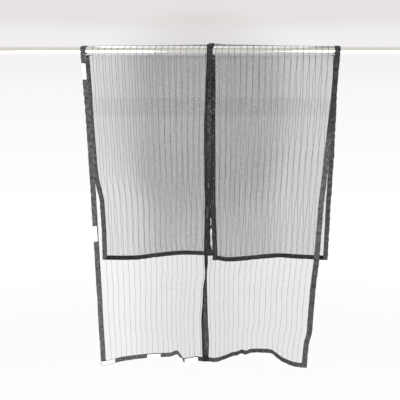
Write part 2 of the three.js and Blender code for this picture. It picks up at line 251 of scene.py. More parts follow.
def table_value(table, place, column=1):
    """The smooth curve through a table's rows: cubic between two rows, and at each row with the slope
    between its two neighbours. Past the first and last row it stays level."""
    keys, values = table[:, 0], table[:, column]
    last = len(keys) - 1
    place = np.clip(place, keys[0], keys[last])
    before = np.maximum(np.arange(last + 1) - 1, 0)
    after = np.minimum(np.arange(last + 1) + 1, last)
    slope = (values[after] - values[before]) / (keys[after] - keys[before])
    row = np.clip(np.searchsorted(keys, place, side="right") - 1, 0, last - 1)
    span = keys[row + 1] - keys[row]
    f = (place - keys[row]) / span
    away = (1 + 2 * f) * (1 - f) ** 2 * values[row] + f * (1 - f) ** 2 * span * slope[row]
    return away + f * f * (3 - 2 * f) * values[row + 1] + f * f * (f - 1) * span * slope[row + 1]


def smooth_step(low, high, value):
    """0 below low, 1 above high, and an even S between."""
    f = np.clip((value - low) / (high - low), 0, 1)
    return f * f * (3 - 2 * f)


def mix(a, b, f):
    """a where f is 0 and b where f is 1."""
    return a + (b - a) * f


def fold_growth(depth, fall):
    """How much of a fold is open after a share of the drop: folds towards the viewer open soon, folds
    away from the viewer as the square of the fall, because the rear drop hangs behind them."""
    near = near_fold_full * (1 - np.exp(-((fall / near_fold_reach) ** near_fold_power)))
    return mix(near, fall * fall, (1 + np.tanh(depth / fold_blend_depth)) / 2)


def seam_across(panel):
    """Where the centre band meets the net, across."""
    return panel["width"] - band_width if panel["centre_side"] > 0 else band_width


def in_centre_band(panel, across):
    """True on the centre band."""
    return panel["centre_side"] * (across - seam_across(panel)) > 0


def front_band_point(panel, across, height):
    """x and y on a centre band in front: the centre line, plus the way across it in the turned direction,
    plus one layer outwards for the right panel's band."""
    side, width = panel["centre_side"], panel["width"]
    turn = np.radians(table_value(centre_turn, height))
    growth = fold_growth(centre_depth_at_hem, -height / front_drop)
    middle = width - band_width / 2 if side > 0 else band_width / 2
    reach = across - middle - side * table_value(centre_line, height, 2) / 2
    layer = 0 if side > 0 else layer_step
    x = table_value(centre_line, height) + reach * np.cos(turn) + layer * np.sin(turn)
    y = centre_depth_at_hem * growth - net_middle_radius + reach * np.sin(turn) - layer * np.cos(turn)
    return x, y


def layer_share(panel, across):
    """1 on the right centre band, which lies on the left one, fading out over the net beside it."""
    if panel["centre_side"] > 0:
        return np.zeros_like(across)
    return 1 - smooth_step(band_width, band_width + seam_blend, across)


def front_point(panel, across, fall):
    """The cloth in front of the rod. Across the net, x runs from the outer side to the seam, evenly at the
    rod and as the fold table says at the hem. y is the folds' depth, grown by the fall, met to the seam."""
    height = -fall * front_drop
    seam = seam_across(panel)
    seam_x, seam_y = front_band_point(panel, seam, height)
    outer = 0 if panel["centre_side"] > 0 else panel["width"]
    folds = panel["front_folds"]
    hem_outer, hem_seam, hem_x = (table_value(folds, place) for place in (outer, seam, across))
    hem_share = (hem_x - hem_outer) / (hem_seam - hem_outer)
    share = (across - outer) / (seam - outer)
    x = mix(table_value(panel["outer_front"], height), seam_x, mix(share, hem_share, fall))

    def folded(place):
        depth = table_value(folds, place, 2)
        return depth * fold_growth(depth, fall) - net_middle_radius

    bend = 0
    rise = 0
    for kink in panel["kinks"]:
        q = (across - kink["across"]) / kink["width"]
        fade = 1 - smooth_step(0, kink["height"], (1 - fall) * front_drop)
        shape = -q * np.exp((1 - q * q) / 2) * fade
        bend = bend + kink["depth"] * shape
        rise = rise + kink["rise"] * shape
    for curl in panel["curls"]:
        beside = np.exp(-((across - curl["across"]) / curl["width"]) ** 2)
        low = np.clip(1 - (1 - fall) * front_drop / curl["height"], 0, 1) ** 2
        bend = bend + curl["back"] * beside * low
        rise = rise + curl["rise"] * beside * low
    near_seam = 1 - smooth_step(0, seam_blend, np.abs(across - seam))
    y = folded(across) + bend + (seam_y - folded(seam)) * near_seam
    band_x, band_y = front_band_point(panel, across, height)
    on_band = in_centre_band(panel, across)
    return np.stack(np.broadcast_arrays(np.where(on_band, band_x, x), np.where(on_band, band_y, y),
                                        height + np.where(on_band, 0, rise)), axis=-1)


def rear_x(panel, across, height):
    """x behind the rod: even from the outer side to the seam, plus the spread, and flat on the band."""
    side, seam = panel["centre_side"], seam_across(panel)
    seam_x = table_value(panel["centre_rear"], height) - side * band_width / 2
    outer = 0 if side > 0 else panel["width"]
    net_x = mix(table_value(panel["outer_rear"], height), seam_x, (across - outer) / (seam - outer))
    net_x = net_x + table_value(panel["rear_spread"], across)
    return np.where(in_centre_band(panel, across), seam_x + across - seam, net_x)


def rear_point(panel, across, fall):
    """The cloth behind the rod: its folds open as a power of the fall, and its hem rises by the table."""
    clamp = np.minimum if panel["centre_side"] > 0 else np.maximum
    place = clamp(across, seam_across(panel))
    height = -fall * (rear_drop - table_value(panel["rear_folds"], place, 2))
    layer = layer_step * layer_share(panel, across)
    opened = np.maximum(fall, 0) ** rear_fold_power
    y = net_middle_radius + layer + table_value(panel["rear_folds"], place) * opened
    return np.stack(np.broadcast_arrays(rear_x(panel, across, height), y, height), axis=-1)


def wrap_point(panel, across, turned):
    """The cloth over the rod: half a turn about the rod's axis, lifted at the top by the crown."""
    angle = np.pi * turned
    share = layer_share(panel, across)
    x = mix(front_point(panel, across, np.zeros_like(turned))[..., 0],
            rear_x(panel, across, np.zeros_like(turned)), smooth_step(0, 1, turned))
    lift = table_value(crown, x) + magnet_lift * share
    radius = net_middle_radius + layer_step * share + lift * np.sin(angle) ** 2
    return np.stack(np.broadcast_arrays(x, -radius * np.cos(angle), radius * np.sin(angle)), axis=-1)


def middle_of_cloth(panel, across, along):
    """A point in the middle of the cloth, along measured from the front hem over the rod to the rear hem."""
    across, along = np.broadcast_arrays(np.asarray(across, float), np.asarray(along, float))
    past = along - front_drop
    front = front_point(panel, across, np.clip(1 - along / front_drop, 0, 1))
    wrap = wrap_point(panel, across, np.clip(past / over_rod, 0, 1))
    rear = rear_point(panel, across, np.clip((past - over_rod) / rear_drop, 0, 1))
    over = (past > over_rod)[..., None]
    return np.where((past < 0)[..., None], front, np.where(over, rear, wrap))


# How far to each side the cloth's slopes are taken, and how near the seam a point takes the seam's own
slope_reach, same_seam = 1.5 * mm, 1 * mm


def on_cloth(panel, across, along, height):
    """A point that stands off the middle of the cloth by a height, along the cloth's own direction there,
    which comes from the slopes a short reach to each side."""
    reach = slope_reach
    seam = seam_across(panel)
    place = np.where(np.abs(across - seam) < same_seam, seam, across)
    within = np.clip(along, reach, cloth_length - reach)
    right = middle_of_cloth(panel, place + reach, within) - middle_of_cloth(panel, place - reach, within)
    up = middle_of_cloth(panel, place, within + reach) - middle_of_cloth(panel, place, within - reach)
    out = np.cross(right, up)
    out = out / np.linalg.norm(out, axis=-1, keepdims=True)
    return middle_of_cloth(panel, across, along) + out * np.asarray(height)[..., None]


wave_count = 9


def waviness(seed, across, along, across_size, along_size):
    """A sum of slanted sine waves with sizes and phases drawn once from a seed, mostly between -1 and 1 and
    never past 3."""
    random = np.random.default_rng(seed)
    total = 0
    for _ in range(wave_count):
        turns_across = random.normal() / across_size
        turns_along = random.normal() / along_size
        phase = random.uniform(0, 2 * np.pi)
        total = total + np.sin(2 * np.pi * (turns_across * across + turns_along * along) + phase)
    return total / np.sqrt(wave_count)


# Drift of the net's lines to the sides and ripples out of its face: size, and their lengths across and
# along. Both fade out within a reach of the tape and between two distances from the top of the rod.
drift_size, drift_across, drift_along = 1.5 * mm, 300 * mm, 160 * mm
ripple_size, ripple_across, ripple_along = 1.1 * mm, 60 * mm, 140 * mm
sewn_reach, near_rod, clear_of_rod = 35 * mm, 20 * mm, 120 * mm
net_seeds = {"left": 11, "right": 12}
ripple_seed_step = 10


def net_point(panel, across, along, height):
    """A point of the net: the cloth, with slight ripples out of its face and its lines drifting a little to
    the sides, both fading out where it is sewn into the tape."""
    edge = np.minimum(np.minimum(across - band_width, panel["width"] - band_width - across),
                      np.minimum(along - hem_width, cloth_length - hem_width - along))
    free = smooth_step(0, sewn_reach, edge)
    off_rod = smooth_step(near_rod, clear_of_rod, np.abs(along - front_drop - over_rod / 2))
    seed = net_seeds[panel["name"]]
    drift = waviness(seed, across, along, drift_across, drift_along) * drift_size * free * off_rod
    for middle, height_there, reach, half_height, rise, shift in panel["pulls"]:
        beside = (across - middle) / reach
        q = (along - front_drop - height_there - rise * beside) / half_height
        drift = drift + shift * q * np.exp((1 - q * q) / 2 - beside * beside) * free
    ripple = waviness(seed + ripple_seed_step, across, along, ripple_across, ripple_along) * ripple_size
    return on_cloth(panel, across + drift, along, height + ripple * free * off_rod)


bend_margin = 6 * mm


def rows_along(step, wrap_step, start=0, end=cloth_length):
    """Places along the cloth, closer together over the rod and a little to each side of it."""
    bend_start, bend_end = front_drop - bend_margin, front_drop + over_rod + bend_margin
    parts = [np.linspace(start, bend_start, round((bend_start - start) / step), endpoint=False),
             np.linspace(bend_start, bend_end, round((bend_end - bend_start) / wrap_step), endpoint=False),
             np.linspace(bend_end, end, round((end - bend_end) / step) + 1)]
    return np.concatenate(parts)


def worked_out(add, operation, *values):
    """One step of arithmetic on numbers and outputs."""
    return add("ShaderNodeMath", dict(enumerate(values)), operation=operation).outputs[0]


def colour_ramp(add, place, rows, interpolation="LINEAR"):
    """A colour by a value, from rows of the value and its colour."""
    node = add("ShaderNodeValToRGB", {"Fac": place})
    node.color_ramp.interpolation = interpolation
    for _ in rows[2:]:
        node.color_ramp.elements.new(0.5)
    for element, (level, colour) in zip(node.color_ramp.elements, rows):
        element.position = level
        element.color = (*colour, 1)
    return node.outputs[0]


def point_values(piece, name, values):
    """Keeps a value at each point of a piece for its material to read."""
    attribute = piece.data.attributes.new(name, "FLOAT", "POINT")
    attribute.data.foreach_set("value", values.astype(np.float32).ravel())


def make_net_material():
    """Sheer net of fine polyester thread: see-through all over, less so along each thread of its lattice,
    by the share of cover that the piece carries. Grey, with painted highlights in its colour: lighter
    lengths along the threads, light crease lines in patches and sparse bright dots."""
    pitch = 1.6 * mm
    thread_half = 0.16 * mm
    least_cover, thread_cover = 0.68, 0.9
    tones = [(0.5, (0.031, 0.029, 0.034)), (0.75, (0.235, 0.22, 0.252)), (1.0, (0.80, 0.79, 0.81))]
    material, add, connect = new_material("sheer_net", {"Roughness": 0.75, "Specular IOR Level": 0.2})
    place = add("ShaderNodeUVMap", uv_map="cloth").outputs[0]
    sides = add("ShaderNodeSeparateXYZ", {0: place})
    threads = []
    for axis in ("X", "Y"):
        beside = worked_out(add, "PINGPONG", sides.outputs[axis], pitch / 2)
        threads.append(worked_out(add, "LESS_THAN", beside, thread_half))
    lattice = worked_out(add, "MAXIMUM", *threads)
    share = worked_out(add, "MULTIPLY_ADD", lattice, thread_cover, least_cover)
    swell = ranged(add, noise(add, place, 1.0, 2.0, (230, 3, 1)), 0.3, 0.7, 0.87, 1.13)
    cover = add("ShaderNodeAttribute", attribute_name="cover").outputs["Fac"]
    uneven = worked_out(add, "MULTIPLY", cover, swell)
    connect(worked_out(add, "MULTIPLY", uneven, share), "Alpha")
    # Colour: the grey thread lifted towards white by painted highlights, as glints along the threads, light
    # crease lines in patches and sparse bright dots
    patches = ranged(add, noise(add, place, 7.0, 1.0), 0.48, 0.62)
    creased = add("ShaderNodeMapping", {"Vector": place, "Rotation": (0, 0, 0.5),
                                        "Scale": (34, 15, 1)}).outputs[0]
    edges = add("ShaderNodeTexVoronoi", {"Vector": creased, "Scale": 1.0}, voronoi_dimensions="2D",
                feature="DISTANCE_TO_EDGE").outputs["Distance"]
    crinkle_highlights = worked_out(add, "MULTIPLY", ranged(add, edges, 0.015, 0.05, 1.0, 0.0), patches)
    glints = noise(add, place, 1.0, 1.0, (700, 90, 1))
    painted_sparkles = ranged(add, noise(add, place, 1.0, 0.0, (240, 150, 1)), 0.69, 0.75, 0.0, 0.4)
    light = worked_out(add, "MULTIPLY_ADD", crinkle_highlights, 0.16, glints)
    light = worked_out(add, "ADD", light, painted_sparkles)
    connect(colour_ramp(add, light, tones), "Base Color")
    return material


net_material = make_net_material()
net_tuck = 4 * mm
net_columns, net_row_step, wrap_row_step = 91, 8 * mm, 3 * mm

# A level stretch in front where the net is a little denser: its two ends, how far it fades below and above
# them, and how much it adds to the cover
crease_top, crease_bottom = front_drop - 178 * mm, front_drop - 238 * mm
crease_fade_below, crease_fade_above = 12 * mm, 6 * mm
crease_cover = 0.085

# How much denser the net looks along its length: denser where it is seen through slantwise over the rod,
# and thinned and thickened there to set how brightly the rod's highlight shows through it, as painted
# light; a little thinner below and behind the rod, painting the net lighter there. Each row is the length
# before or past the start of the bend, and the share.
cover_along = np.array([(-1250, 0.97), (-900, 0.97), (-450, 1), (-330, 0.94), (-48, 0.94), (-34, 0.98),
                        (-26, 1.35), (-14, 1.35), (-6, 1.1), (0, 0.7), (4, 0.3), (10, 0.3), (14, 1.2),
                        (17, 2.0), (23, 2.1), (28, 1.0), (34, 1.0), (45, 1.2),
                        (60, 1.0), (90, 0.94), (330, 0.94), (500, 1), (900, 1)]) * (mm, 1)
for panel in (left_panel, right_panel):
    width = panel["width"]
    across = np.linspace(band_width - net_tuck, width - band_width + net_tuck, net_columns)[None, :]
    along = rows_along(net_row_step, wrap_row_step, hem_width - net_tuck, cloth_length - hem_width + net_tuck)
    along = along[:, None]
    points = net_point(panel, across, along, np.zeros((len(along), net_columns)))
    places = np.stack(np.broadcast_arrays(across, along), axis=-1)
    faces = grid_faces(len(along), net_columns).tolist()
    net = mesh_object(f"{panel['name']}_net_cloth", points, faces, net_material, places)
    # Cover of each point: the thread's share, with the painted shade and painted light of the tables above
    behind = smooth_step(front_drop + over_rod * 0.6, front_drop + over_rod, along)
    cover = mix(table_value(panel["front_cover"], across), table_value(panel["rear_cover"], across), behind)
    cover = cover * table_value(cover_along, along - front_drop)
    crease = crease_cover * smooth_step(crease_bottom - crease_fade_below, crease_bottom, along)
    crease = crease * (1 - smooth_step(crease_top, crease_top + crease_fade_above, along))
    point_values(net, "cover", cover + crease)
    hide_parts(f"{panel['name']}_net")


# Stripes: a thicker dark yarn woven into the net every 24 mm, running the whole length of each panel
stripe_half_width = 0.52 * mm
stripe_half_height = 0.3 * mm
stripe_row_step = 7 * mm


def make_stripe_material():
    """Dark twisted yarn with a faint twist in its colour and its bump."""
    tones = [(0, (0.018, 0.017, 0.018)), (1, (0.085, 0.082, 0.082))]
    material, add, connect = new_material("stripe_yarn", {"Roughness": 0.8})
    twist = noise(add, add("ShaderNodeUVMap", uv_map="cloth").outputs[0], 260.0, 2.0)
    connect(colour_ramp(add, twist, tones), "Base Color")
    bump = add("ShaderNodeBump", {"Height": twist, "Strength": 0.5, "Distance": 0.0003}).outputs[0]
    connect(bump, "Normal")
    return material


stripe_material = make_stripe_material()
for panel in (left_panel, right_panel):
    count = panel["stripe_count"]
    along = rows_along(stripe_row_step, wrap_row_step, hem_width - net_tuck,
                       cloth_length - hem_width + net_tuck)
    middle = panel["first_stripe"] + panel["stripe_step"] * np.arange(count)
    corner_side = stripe_half_width * np.array([1, 0, -1, 0])
    corner_height = stripe_half_height * np.array([0, 1, 0, -1])
    across = middle[:, None, None] + corner_side[None, None, :]
    height = np.broadcast_to(corner_height, (count, len(along), 4))
    points = net_point(panel, across, along[None, :, None], height)
    places = np.stack(np.broadcast_arrays(across, along[None, :, None]), axis=-1)
    faces = []
    for stripe in range(count):
        start = stripe * len(along) * 4
        faces += (grid_faces(len(along), 4, ring=True) + start).tolist()
        faces += [[start + 3, start + 2, start + 1, start],
                  [start + len(along) * 4 - 4 + corner for corner in range(4)]]
    yarns = mesh_object(f"{panel['name']}_net_stripes", points, faces, stripe_material, places)


# Tape binding: dark woven tape folded round every edge of the net and sewn through. The long bands run
# the whole length, the centre ones hold the magnets in sewn pockets, and the hems lie between the bands.
tape_half_thickness = 0.95 * mm
tape_edge_round = 1.1 * mm
stitch_line = 3 * mm
magnet_pockets = [(-345, -402), (-595, -647), (-118, -172), (-830, -885), (-1030, -1090)]

# How high the pockets stand, how far they stay from the tape's edges, and how far they take to rise along
# the tape and across it
pocket_heights = {"left": 0.25 * mm, "right": 0.9 * mm}
pocket_inset, pocket_rise_along, pocket_rise_across = 5 * mm, 4 * mm, 3 * mm

# Groove that the stitching draws in: width, depth, and how much and how often the depth changes
groove_width, groove_depth, groove_change, groove_step = 1.1 * mm, 0.35 * mm, 0.2 * mm, 7 * mm

# Slight creases of the tape, the drift of its run, and the waves of its free edge: size, and lengths
tape_crease, tape_crease_across, tape_crease_along = 0.35 * mm, 50 * mm, 45 * mm
tape_drift, tape_drift_along = 0.3 * mm, 90 * mm
edge_wave, centre_edge_wave, edge_wave_along, edge_wave_width = 0.8 * mm, 1.5 * mm, 35 * mm, 8 * mm

# Points across a face between its rounded edges, on a plain tape and a creased one, and steps along
tape_columns, creased_tape_columns, edge_steps = 6, 16, 5
tape_row_step, creased_row_step, tape_wrap_step = 2.5 * mm, 1.8 * mm, 2 * mm
hem_rows, hem_overlap = 186, 1 * mm

# The square of the least share of its thickness that a strip keeps at its very ends
least_end = 0.02


def make_tape_material():
    """Charcoal woven tape: a fine plain weave in its bump and cloudy lighter and darker stretches. Its colour
    is scaled by a tone kept at each point, which carries painted light and shade: lighter tapes where more
    light falls, painted highlights on raised creases and painted shade in sunken ones and at the centre
    tapes' edges."""
    weave_pitch = 1.1 * mm
    tones = [(0.34, (0.35, 0.33, 0.34)), (0.66, (1.80, 1.68, 1.74))]
    material, add, connect = new_material("woven_tape", {"Roughness": 0.88, "Specular IOR Level": 0.12,
                                                         "Sheen Weight": 0.02})
    place = add("ShaderNodeUVMap", uv_map="cloth").outputs[0]
    clouds = add("ShaderNodeTexNoise", {"Vector": place, "Scale": 75.0, "Detail": 4.0,
                                        "Roughness": 0.65}).outputs[0]
    # The tone of each point: the tape's own dark tone with painted light and shade laid over it
    painted_light_tone = add("ShaderNodeAttribute", attribute_name="tone_and_painted_light").outputs["Fac"]
    cloudy = colour_ramp(add, clouds, tones)
    colour = add("ShaderNodeVectorMath", {0: cloudy, "Scale": painted_light_tone}, operation="SCALE").outputs[0]
    connect(colour, "Base Color")
    sides = add("ShaderNodeSeparateXYZ", {0: place})
    over, under = (worked_out(add, "PINGPONG", sides.outputs[axis], weave_pitch / 2) for axis in ("X", "Y"))
    weave = worked_out(add, "ADD", over, under)
    weave_bump = add("ShaderNodeBump", {"Height": weave, "Strength": 0.6, "Distance": 0.5})
    cloud_bump = add("ShaderNodeBump", {"Height": clouds, "Strength": 0.35, "Distance": 0.004,
                                        "Normal": weave_bump.outputs[0]})
    connect(cloud_bump.outputs[0], "Normal")
    return material


def strip_profile(width, edge_round, inner=tape_columns):
    """Outline of a flat strip across its width: the face from one rounded edge to the other, and back
    along the underside. Each row is the way across and the share of the half thickness."""
    turn = np.linspace(0, np.pi / 2, edge_steps)
    edge = np.stack([edge_round * (1 - np.cos(turn)), np.sin(turn)], axis=1)
    inside = np.linspace(edge_round, width - edge_round, inner + 2)[1:-1]
    flat = np.stack([inside, np.ones(inner)], axis=1)
    face = np.concatenate([edge, flat, edge[::-1] * (-1, 1) + (width, 0)])
    back = face[::-1][1:-1] * (1, -1)
    return np.concatenate([face, back])


def end_round(along, start, end, edge_round):
    """Share of the thickness left near a piece's two ends, as a quarter circle."""
    near = np.clip(np.minimum(along - start, end - along) / edge_round, 0, 1)
    return np.sqrt(np.maximum(1 - (1 - near) ** 2, least_end))


def closed_strip(name, panel, rows, across, height, lengthways, material):
    """A closed piece: a strip's outline carried along its rows at heights off the cloth, with a face over
    each end. Lengthways pieces run along the cloth, the others across it."""
    count, around = height.shape
    across, run = np.broadcast_arrays(across, rows[:, None])
    places = (across, run) if lengthways else (run, across)
    faces = grid_faces(count, around, ring=True)
    ends = [list(range(around))[::-1], list(range(around * (count - 1), around * count))]
    if lengthways:
        faces = faces[:, ::-1]
        ends = [end[::-1] for end in ends]
    points = on_cloth(panel, *places, height)
    return mesh_object(name, points, faces.tolist() + ends, material, np.stack(places, axis=-1))


tape_material = make_tape_material()
# Tone along each tape, by mm along its run: the tape's own dark tone, raised as painted light where more
# light falls, most on the outer tapes, and changed along each tape with the light and shade it catches
tone_and_painted_light = {
    "left_outer": [(0, 0.092), (1250, 0.080), (2145, 0.080)],
    "right_outer": [(0, 0.070), (450, 0.060), (530, 0.086), (900, 0.081), (960, 0.044), (1310, 0.039),
                    (1500, 0.065), (2145, 0.065)],
    "left_centre": [(0, 0.022), (1250, 0.016), (1350, 0.010), (2145, 0.012)],
    "right_centre": [(0, 0.017), (25, 0.019), (45, 0.044), (250, 0.040), (420, 0.024), (600, 0.018),
                     (800, 0.027), (960, 0.040), (1040, 0.037), (1075, 0.028), (1250, 0.027), (1300, 0.060),
                     (1350, 0.012), (2145, 0.017)],
    "left_front": [(0, 0.082), (445, 0.082), (465, 0.036), (504, 0.030)],
    "right_front": [(0, 0.050), (510, 0.056)],
    "left_rear": [(0, 0.010), (504, 0.010)], "right_rear": [(0, 0.006), (510, 0.008)]}

# Creases of the right centre tape where the magnets pull it together: side and height of the two ends of
# each, then how far it stands up, its half width, and its painted light: painted highlight on a raised
# crease, painted shade in a sunken one, and a few strong painted glints
centre_creases = np.array([
    (3, -205, 17, -232, 0.9, 1.3, 0.8), (4, -222, 15, -240, -0.8, 1.1, -0.6),
    (2, -246, 14, -262, 0.9, 1.3, 0.7), (5, -262, 18, -250, -0.7, 1.0, -0.6),
    (4, -268, 12, -300, 0.9, 1.4, 0.8), (11, -270, 16, -310, -0.7, 1.1, -0.6),
    (3, -318, 17, -322, -0.8, 1.0, -0.6), (6, -424, 15, -412, 0.8, 1.3, 0.9),
    (4, -440, 13, -446, 0.7, 1.2, 0.6), (5, -455, 12, -480, -0.8, 1.1, -0.6),
    (9, -460, 15, -492, 0.8, 1.2, 0.8), (11, -508, 12, -524, 0.9, 1.0, 5.0),
    (4, -531, 17, -528, -0.8, 1.1, -0.6), (5, -560, 16, -548, -0.7, 1.3, -0.6),
    (3, -586, 18, -600, -0.8, 1.4, -0.7), (8, -602, 8, -645, 0.5, 0.9, 2.0),
    (12, -602, 12, -645, 0.5, 0.9, 2.2), (5, -655, 19, -662, -0.8, 1.3, -0.7),
    (4, -690, 9, -720, 0.8, 1.2, 0.6), (8, -738, 12, -742, 0.7, 1.0, 2.6),
    (6, -752, 9, -766, 0.9, 1.0, 6.0), (3, -790, 16, -800, -0.8, 1.1, -0.6),
    (5, -980, 16, -990, 0.9, 1.3, 0.7), (7, -1004, 9, -1016, 0.5, 1.0, 1.6),
    (10, -1026, 12, -1034, -0.9, 1.2, -0.7), (4, -1050, 15, -1058, 0.8, 1.3, 0.9),
    (6, -1064, 12, -1076, -0.8, 1.2, -0.7), (8, -1082, 15, -1086, 0.7, 1.0, 1.2),
    (5, -1112, 16, -1116, -0.8, 1.3, -0.6), (7, -1128, 13, -1134, 0.8, 1.2, 1.1),
    (4, -1150, 17, -1146, -0.9, 1.3, -0.7), (6, -1162, 14, -1172, 0.8, 1.1, 0.9),
    (3, -1190, 16, -1176, 0.8, 1.2, 0.7), (4, -1205, 18, -1196, -0.8, 1.4, -0.6)]) * ((mm,) * 6 + (1,))
# How strongly the creases' painted highlight and shade show
crease_light_contrast = 1.3

# The centre tapes are painted darker at their two edges, as painted shade where they turn in, by the
# share of their tone left there along them, and painted a little lighter between
edge_shade_width = 5 * mm
between_edges_light = 1.15
edge_shade_tones = [(0, 0.8), (170, 0.8), (190, 0.15), (240, 0.15), (300, 0.6), (450, 0.3), (2145, 0.3)]


def crease_shape(creases, side, run):
    """Height and painted light that creases add at places on a tape: each is a bell across the straight line
    between its two ends, of its own height, half width and painted highlight or shade."""
    height, painted_light_tone = 0, 1
    for side_1, height_1, side_2, height_2, rise, half_width, painted_light_share in creases:
        first = np.array([side_1, front_drop + height_1])
        way = np.array([side_2, front_drop + height_2]) - first
        share = ((side - first[0]) * way[0] + (run - first[1]) * way[1]) / (way @ way)
        share = np.clip(share, 0, 1)
        away = np.hypot(side - first[0] - share * way[0], run - first[1] - share * way[1])
        bell = np.exp(-(away / half_width) ** 2)
        height = height + rise * bell
        painted_light_tone = painted_light_tone * (1 + crease_light_contrast * painted_light_share * bell)
    return height, painted_light_tone


def tape_piece(name, panel, start_across, width, rows, lengthways, painted_light_tone, pocket_height=0.0, creases=()):
    """A closed tape: the strip profile carried along its run, puckered a little at the stitch line and
    bent in slight creases. Lengthways tapes run along the cloth, the hems across it."""
    columns = creased_tape_columns if len(creases) else tape_columns
    profile = strip_profile(width, tape_edge_round, columns)
    side, share, run = profile[:, 0][None, :], profile[:, 1][None, :], rows[:, None]
    thickness = tape_half_thickness * end_round(run, rows[0], rows[-1], tape_edge_round)
    seed = sum(name.encode())
    crease = waviness(seed, side, run, tape_crease_across, tape_crease_along) * tape_crease
    stitched = np.exp(-((side - stitch_line) / groove_width) ** 2)
    stitched = stitched + np.exp(-((width - side - stitch_line) / groove_width) ** 2)
    groove = stitched * (groove_depth + groove_change * np.sin(2 * np.pi * run / groove_step))
    height = share * (thickness - groove) + crease
    if pocket_height:
        for top, bottom in magnet_pockets:
            inside = np.minimum(front_drop + top * mm - run, run - front_drop - bottom * mm)
            across_inside = np.minimum(side - pocket_inset, width - pocket_inset - side)
            raised = smooth_step(0, pocket_rise_along, inside)
            raised = raised * smooth_step(0, pocket_rise_across, across_inside)
            height = height + pocket_height * raised * (share > 0)
    crease_height, crease_painted_light = crease_shape(creases, side, run)
    height = height + crease_height * (share > 0)
    drift = waviness(seed + 1, 0, run, 1, tape_drift_along) * tape_drift
    from_free_edge = side if start_across == 0 else width - side
    wavy = 1 - smooth_step(0, edge_wave_width, from_free_edge)
    wave = centre_edge_wave if pocket_height else edge_wave
    drift = drift + waviness(seed + 2, 0, run, 1, edge_wave_along) * wave * wavy
    tape = closed_strip(name, panel, rows, start_across + side + drift, height, lengthways, tape_material)
    # Tone at each point: the tape's tone and painted light along its run, times the creases' painted
    # highlight and shade; the centre tapes also take painted shade at both edges
    tone = table_value(np.array(painted_light_tone) * (mm, 1), run) * crease_painted_light
    if pocket_height:
        # Painted shade at the centre tapes' two edges
        inwards = smooth_step(0, edge_shade_width, np.minimum(side, width - side))
        tone = tone * mix(table_value(np.array(edge_shade_tones) * (mm, 1), run), between_edges_light, inwards)
    point_values(tape, "tone_and_painted_light", np.broadcast_to(tone, height.shape))
    return tape


for panel in (left_panel, right_panel):
    name, width, side = panel["name"], panel["width"], panel["centre_side"]
    outer_start = 0 if side > 0 else width - band_width
    centre_start = width - band_width if side > 0 else 0
    for part, start, pockets in (("outer", outer_start, 0.0), ("centre", centre_start, pocket_heights[name])):
        creases = centre_creases if (name, part) == ("right", "centre") else ()
        rows = rows_along(creased_row_step if len(creases) else tape_row_step, tape_wrap_step)
        tape = tape_piece(f"{name}_{part}_tape", panel, start, band_width, rows, True,
                          tone_and_painted_light[f"{name}_{part}"], pockets, creases)
        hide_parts(f"{name}_{part}_band")
    for part, start in (("front", 0), ("rear", cloth_length - hem_width)):
        rows = np.linspace(band_width - hem_overlap, width - band_width + hem_overlap, hem_rows)
        tape = tape_piece(f"{name}_{part}_hem_tape", panel, start, hem_width, rows, False,
                          tone_and_painted_light[f"{name}_{part}"])
        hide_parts(f"{name}_{part}_hem")


# Stitching: dark thread in a straight lockstitch through each tape near both of its edges, and across
# the ends of the magnet pockets
stitch_step = 4 * mm
stitch_half = np.array([1.45, 0.32, 0.3]) * mm
stitch_sunk = 0.25 * mm

# Where the lines of stitches stop short: of the ends of the long tapes, of the hems' ends, and of the two
# sides of a pocket
long_end_gap, hem_end_gap = 5 * mm, 2 * mm
pocket_side_gaps = (5 * mm, 4 * mm)


def make_thread_material():
    """Dark sewing thread with a slight shine."""
    tones = [(0, (0.035, 0.033, 0.033)), (1, (0.12, 0.115, 0.11))]
    material, add, connect = new_material("sewing_thread", {"Roughness": 0.45})
    fibres = noise(add, add("ShaderNodeUVMap", uv_map="cloth").outputs[0], 900.0, 2.0)
    connect(colour_ramp(add, fibres, tones), "Base Color")
    return material


def stitch_bits(panel, across, along, lengthways, face):
    """Small pointed bars, one for each place, lying along or across the cloth on one face of the tape."""
    corners = np.array([(1, 0, 0), (-1, 0, 0), (0, 1, 0), (0, -1, 0), (0, 0, 1), (0, 0, -1)]) * stitch_half
    across, along = (np.ravel(part)[:, None] for part in np.broadcast_arrays(across, along))
    lie, beside = (along, across) if lengthways else (across, along)
    lie = lie + corners[None, :, 0]
    beside = beside + corners[None, :, 1]
    height = face * (tape_half_thickness - stitch_sunk) + corners[None, :, 2] + 0 * lie
    across, along = (beside, lie) if lengthways else (lie, beside)
    along = np.clip(along, 0, cloth_length)
    return on_cloth(panel, across, along, height), np.stack([across, along], axis=-1)


